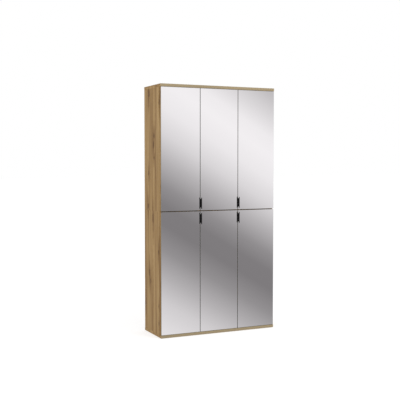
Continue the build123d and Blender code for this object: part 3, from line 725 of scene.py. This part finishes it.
def nailTree():
    # flat-headed nails round a panel and down the line of the partition
    labels = ("Width", "Height", "Partition", "Inset", "Spacing", "Head Radius", "Head Height")
    tree, sizes = newShapeTree("panelNails", labels)
    twice = calc(tree, "MULTIPLY", sizes["Inset"], 2.0)
    across = calc(tree, "SUBTRACT", sizes["Width"], twice)
    up = calc(tree, "SUBTRACT", sizes["Height"], twice)
    border = addNode(tree, "GeometryNodeCurvePrimitiveQuadrilateral", {
        "Width": across, "Height": up}).outputs[0]
    half = calc(tree, "MULTIPLY", calc(tree, "SUBTRACT", up, sizes["Spacing"]), 0.5)
    line = addNode(tree, "GeometryNodeCurvePrimitiveLine", {
        "Start": point(tree, sizes["Partition"], half),
        "End": point(tree, sizes["Partition"], calc(tree, "MULTIPLY", half, -1.0))}).outputs[0]
    rows = addNode(tree, "GeometryNodeResampleCurve", {
        "Curve": joinShapes(tree, border, line), "Length": sizes["Spacing"]}, mode="LENGTH").outputs[0]
    nail = dome(tree, sizes["Head Radius"], sizes["Head Height"], 10)
    frameOfNails = addNode(tree, "GeometryNodeInstanceOnPoints", {
        "Points": rows, "Instance": nail}).outputs[0]
    endShapeTree(tree, onSpots(tree, sizes["Geometry"], frameOfNails, spin=False), sizes["Finish"])
    return tree


nailSpots = []
for row in doorRows:
    low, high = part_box(f"back_panel_{row}")
    nailSpots.append((((low.x + high.x) / 2, high.y, (low.z + high.z) / 2), (0.0, 1.0, 0.0), 0.0))
partitionLow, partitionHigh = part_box("partition_lower")
partitionX = (partitionLow.x + partitionHigh.x) / 2
sizes = dict(nailSizes, Width=high.x - low.x, Height=high.z - low.z, Partition=partitionX)
grow("backNails", nailTree(), nailSpots, sizes, finishes["zinc"], "case")


print("wardrobe: caps of the clothes rails")
capSizes = {"Radius": 0.0106, "Height": 0.003, "Plug Radius": 0.0083, "Plug Length": 0.012}


def capTree():
    tree, sizes = newShapeTree("railCap", capSizes)
    cap = dome(tree, sizes["Radius"], sizes["Height"], 32)
    tip = calc(tree, "MULTIPLY", sizes["Plug Radius"], 0.92)
    plugShape = addNode(tree, "GeometryNodeMeshCone", {
        "Vertices": 32, "Radius Top": sizes["Plug Radius"], "Radius Bottom": tip,
        "Depth": sizes["Plug Length"]}).outputs[0]
    plugShape = moved(tree, plugShape, point(tree, z=calc(tree, "MULTIPLY", sizes["Plug Length"], -1.0)))
    endShapeTree(tree, onSpots(tree, sizes["Geometry"], joinShapes(tree, cap, plugShape)), sizes["Finish"])
    return tree


capSpots = []
for low, high, _ in solidsOf("clothes_rails"):
    middle = (low + high) / 2
    capSpots.append(((middle.x, low.y, middle.z), (0.0, -1.0, 0.0), 0.0))
    capSpots.append(((middle.x, high.y, middle.z), (0.0, 1.0, 0.0), 0.0))
grow("railCaps", capTree(), capSpots, capSizes, finishes["black_nylon"], "case")


print("wardrobe: floor, light and camera")
studio = {
    "floorSize": 120.0,
    "ambient": 0.78,
    "lights": [                        # place, aim, side in metres, watts
        ((2.2, -4.2, 2.8), (0.0, 0.0, 1.0), 2.6, 95.0),
        ((-3.4, -2.0, 3.2), (0.0, 0.0, 1.0), 2.2, 28.0),
    ],
    "cameraPlace": (-2.7367, -5.6613, 1.3658),
    "cameraTurn": (87.2242, 0.0, -25.045),
    "lens": 69.537,
    "sweepSlope": 0.6,                 # height on the sweep for each metre to the right
}

# brightness along a slanting line across the mirrors, by height in metres
mirrorSweep = [
    (-1.2, 190), (-0.6, 226), (-0.25, 223), (0.0, 204), (0.2, 175), (0.4, 144),
    (0.6, 123), (0.75, 124), (0.9, 142), (1.1, 179), (1.3, 213), (1.5, 232),
    (1.7, 239), (1.85, 235), (2.0, 217), (2.2, 191), (2.7, 160), (3.8, 210),
]


def studioWorld():
    world = bpy.data.worlds.new("studio")
    world.use_nodes = True
    tree = world.node_tree
    tree.nodes.clear()
    low = mirrorSweep[0][0]
    span = mirrorSweep[-1][0] - low
    direction = addNode(tree, "ShaderNodeSeparateXYZ", {
        "Vector": addNode(tree, "ShaderNodeTexCoord").outputs["Generated"]})
    x, y, z = (direction.outputs[axis] for axis in "XYZ")
    away = calc(tree, "MAXIMUM", calc(tree, "ABSOLUTE", y), 0.02)
    reach = abs(studio["cameraPlace"][1] - frontY)
    slant = calc(tree, "DIVIDE", calc(tree, "MULTIPLY_ADD", x, studio["sweepSlope"], z), away)
    atCamera = studio["cameraPlace"][2] + studio["sweepSlope"] * studio["cameraPlace"][0]
    sweep = calc(tree, "MULTIPLY_ADD", slant, reach, atCamera)
    share = calc(tree, "DIVIDE", calc(tree, "SUBTRACT", sweep, low), span, clamp=True)
    stops = [((s - low) / span, rgb(v + 3, v, v + 2)) for s, v in mirrorSweep]
    seen = vectorCalc(tree, "DIVIDE", colourRamp(tree, share, stops), mirrorLook["silver"][:3])
    path = addNode(tree, "ShaderNodeLightPath")
    ambient = (studio["ambient"],) * 3 + (1.0,)
    colour = mixColours(tree, path.outputs["Is Glossy Ray"], ambient, seen)
    colour = mixColours(tree, path.outputs["Is Camera Ray"], colour, (1.0, 1.0, 1.0, 1.0))
    back = addNode(tree, "ShaderNodeBackground", {"Color": colour, "Strength": 1.0})
    addNode(tree, "ShaderNodeOutputWorld", {"Surface": back.outputs[0]})
    scene.world = world


def makeStudio():
    half = studio["floorSize"] / 2
    corners = [(-half, -half, 0), (half, -half, 0), (half, half, 0), (-half, half, 0)]
    floor = meshObject("floor", corners, [(0, 1, 2, 3)])
    made, tree, shader, place = newMaterial("paleFloor")
    shader.inputs["Base Color"].default_value = (0.5, 0.5, 0.5, 1.0)
    shader.inputs["Roughness"].default_value = 0.9
    shader.inputs["Emission Color"].default_value = (1.0, 1.0, 1.0, 1.0)
    shader.inputs["Emission Strength"].default_value = 0.62
    floor.data.materials.append(made)
    floor.visible_glossy = False
    for number, (place, aim, side, watts) in enumerate(studio["lights"], start=1):
        lamp = bpy.data.lights.new(f"softbox{number}", "AREA")
        lamp.size = side
        lamp.energy = watts
        holder = bpy.data.objects.new(f"softbox{number}", lamp)
        holder.location = place
        holder.rotation_euler = (Vector(aim) - Vector(place)).to_track_quat("-Z", "Y").to_euler()
        holder.visible_glossy = False
        scene.collection.objects.link(holder)
    camera = bpy.data.cameras.new("camera")
    camera.lens = studio["lens"]
    camera.sensor_width = 36.0
    holder = bpy.data.objects.new("camera", camera)
    holder.location = studio["cameraPlace"]
    holder.rotation_euler = [math.radians(turn) for turn in studio["cameraTurn"]]
    scene.collection.objects.link(holder)
    scene.camera = holder
    scene.view_settings.view_transform = "Standard"


studioWorld()
makeStudio()

print("wardrobe: finishing")
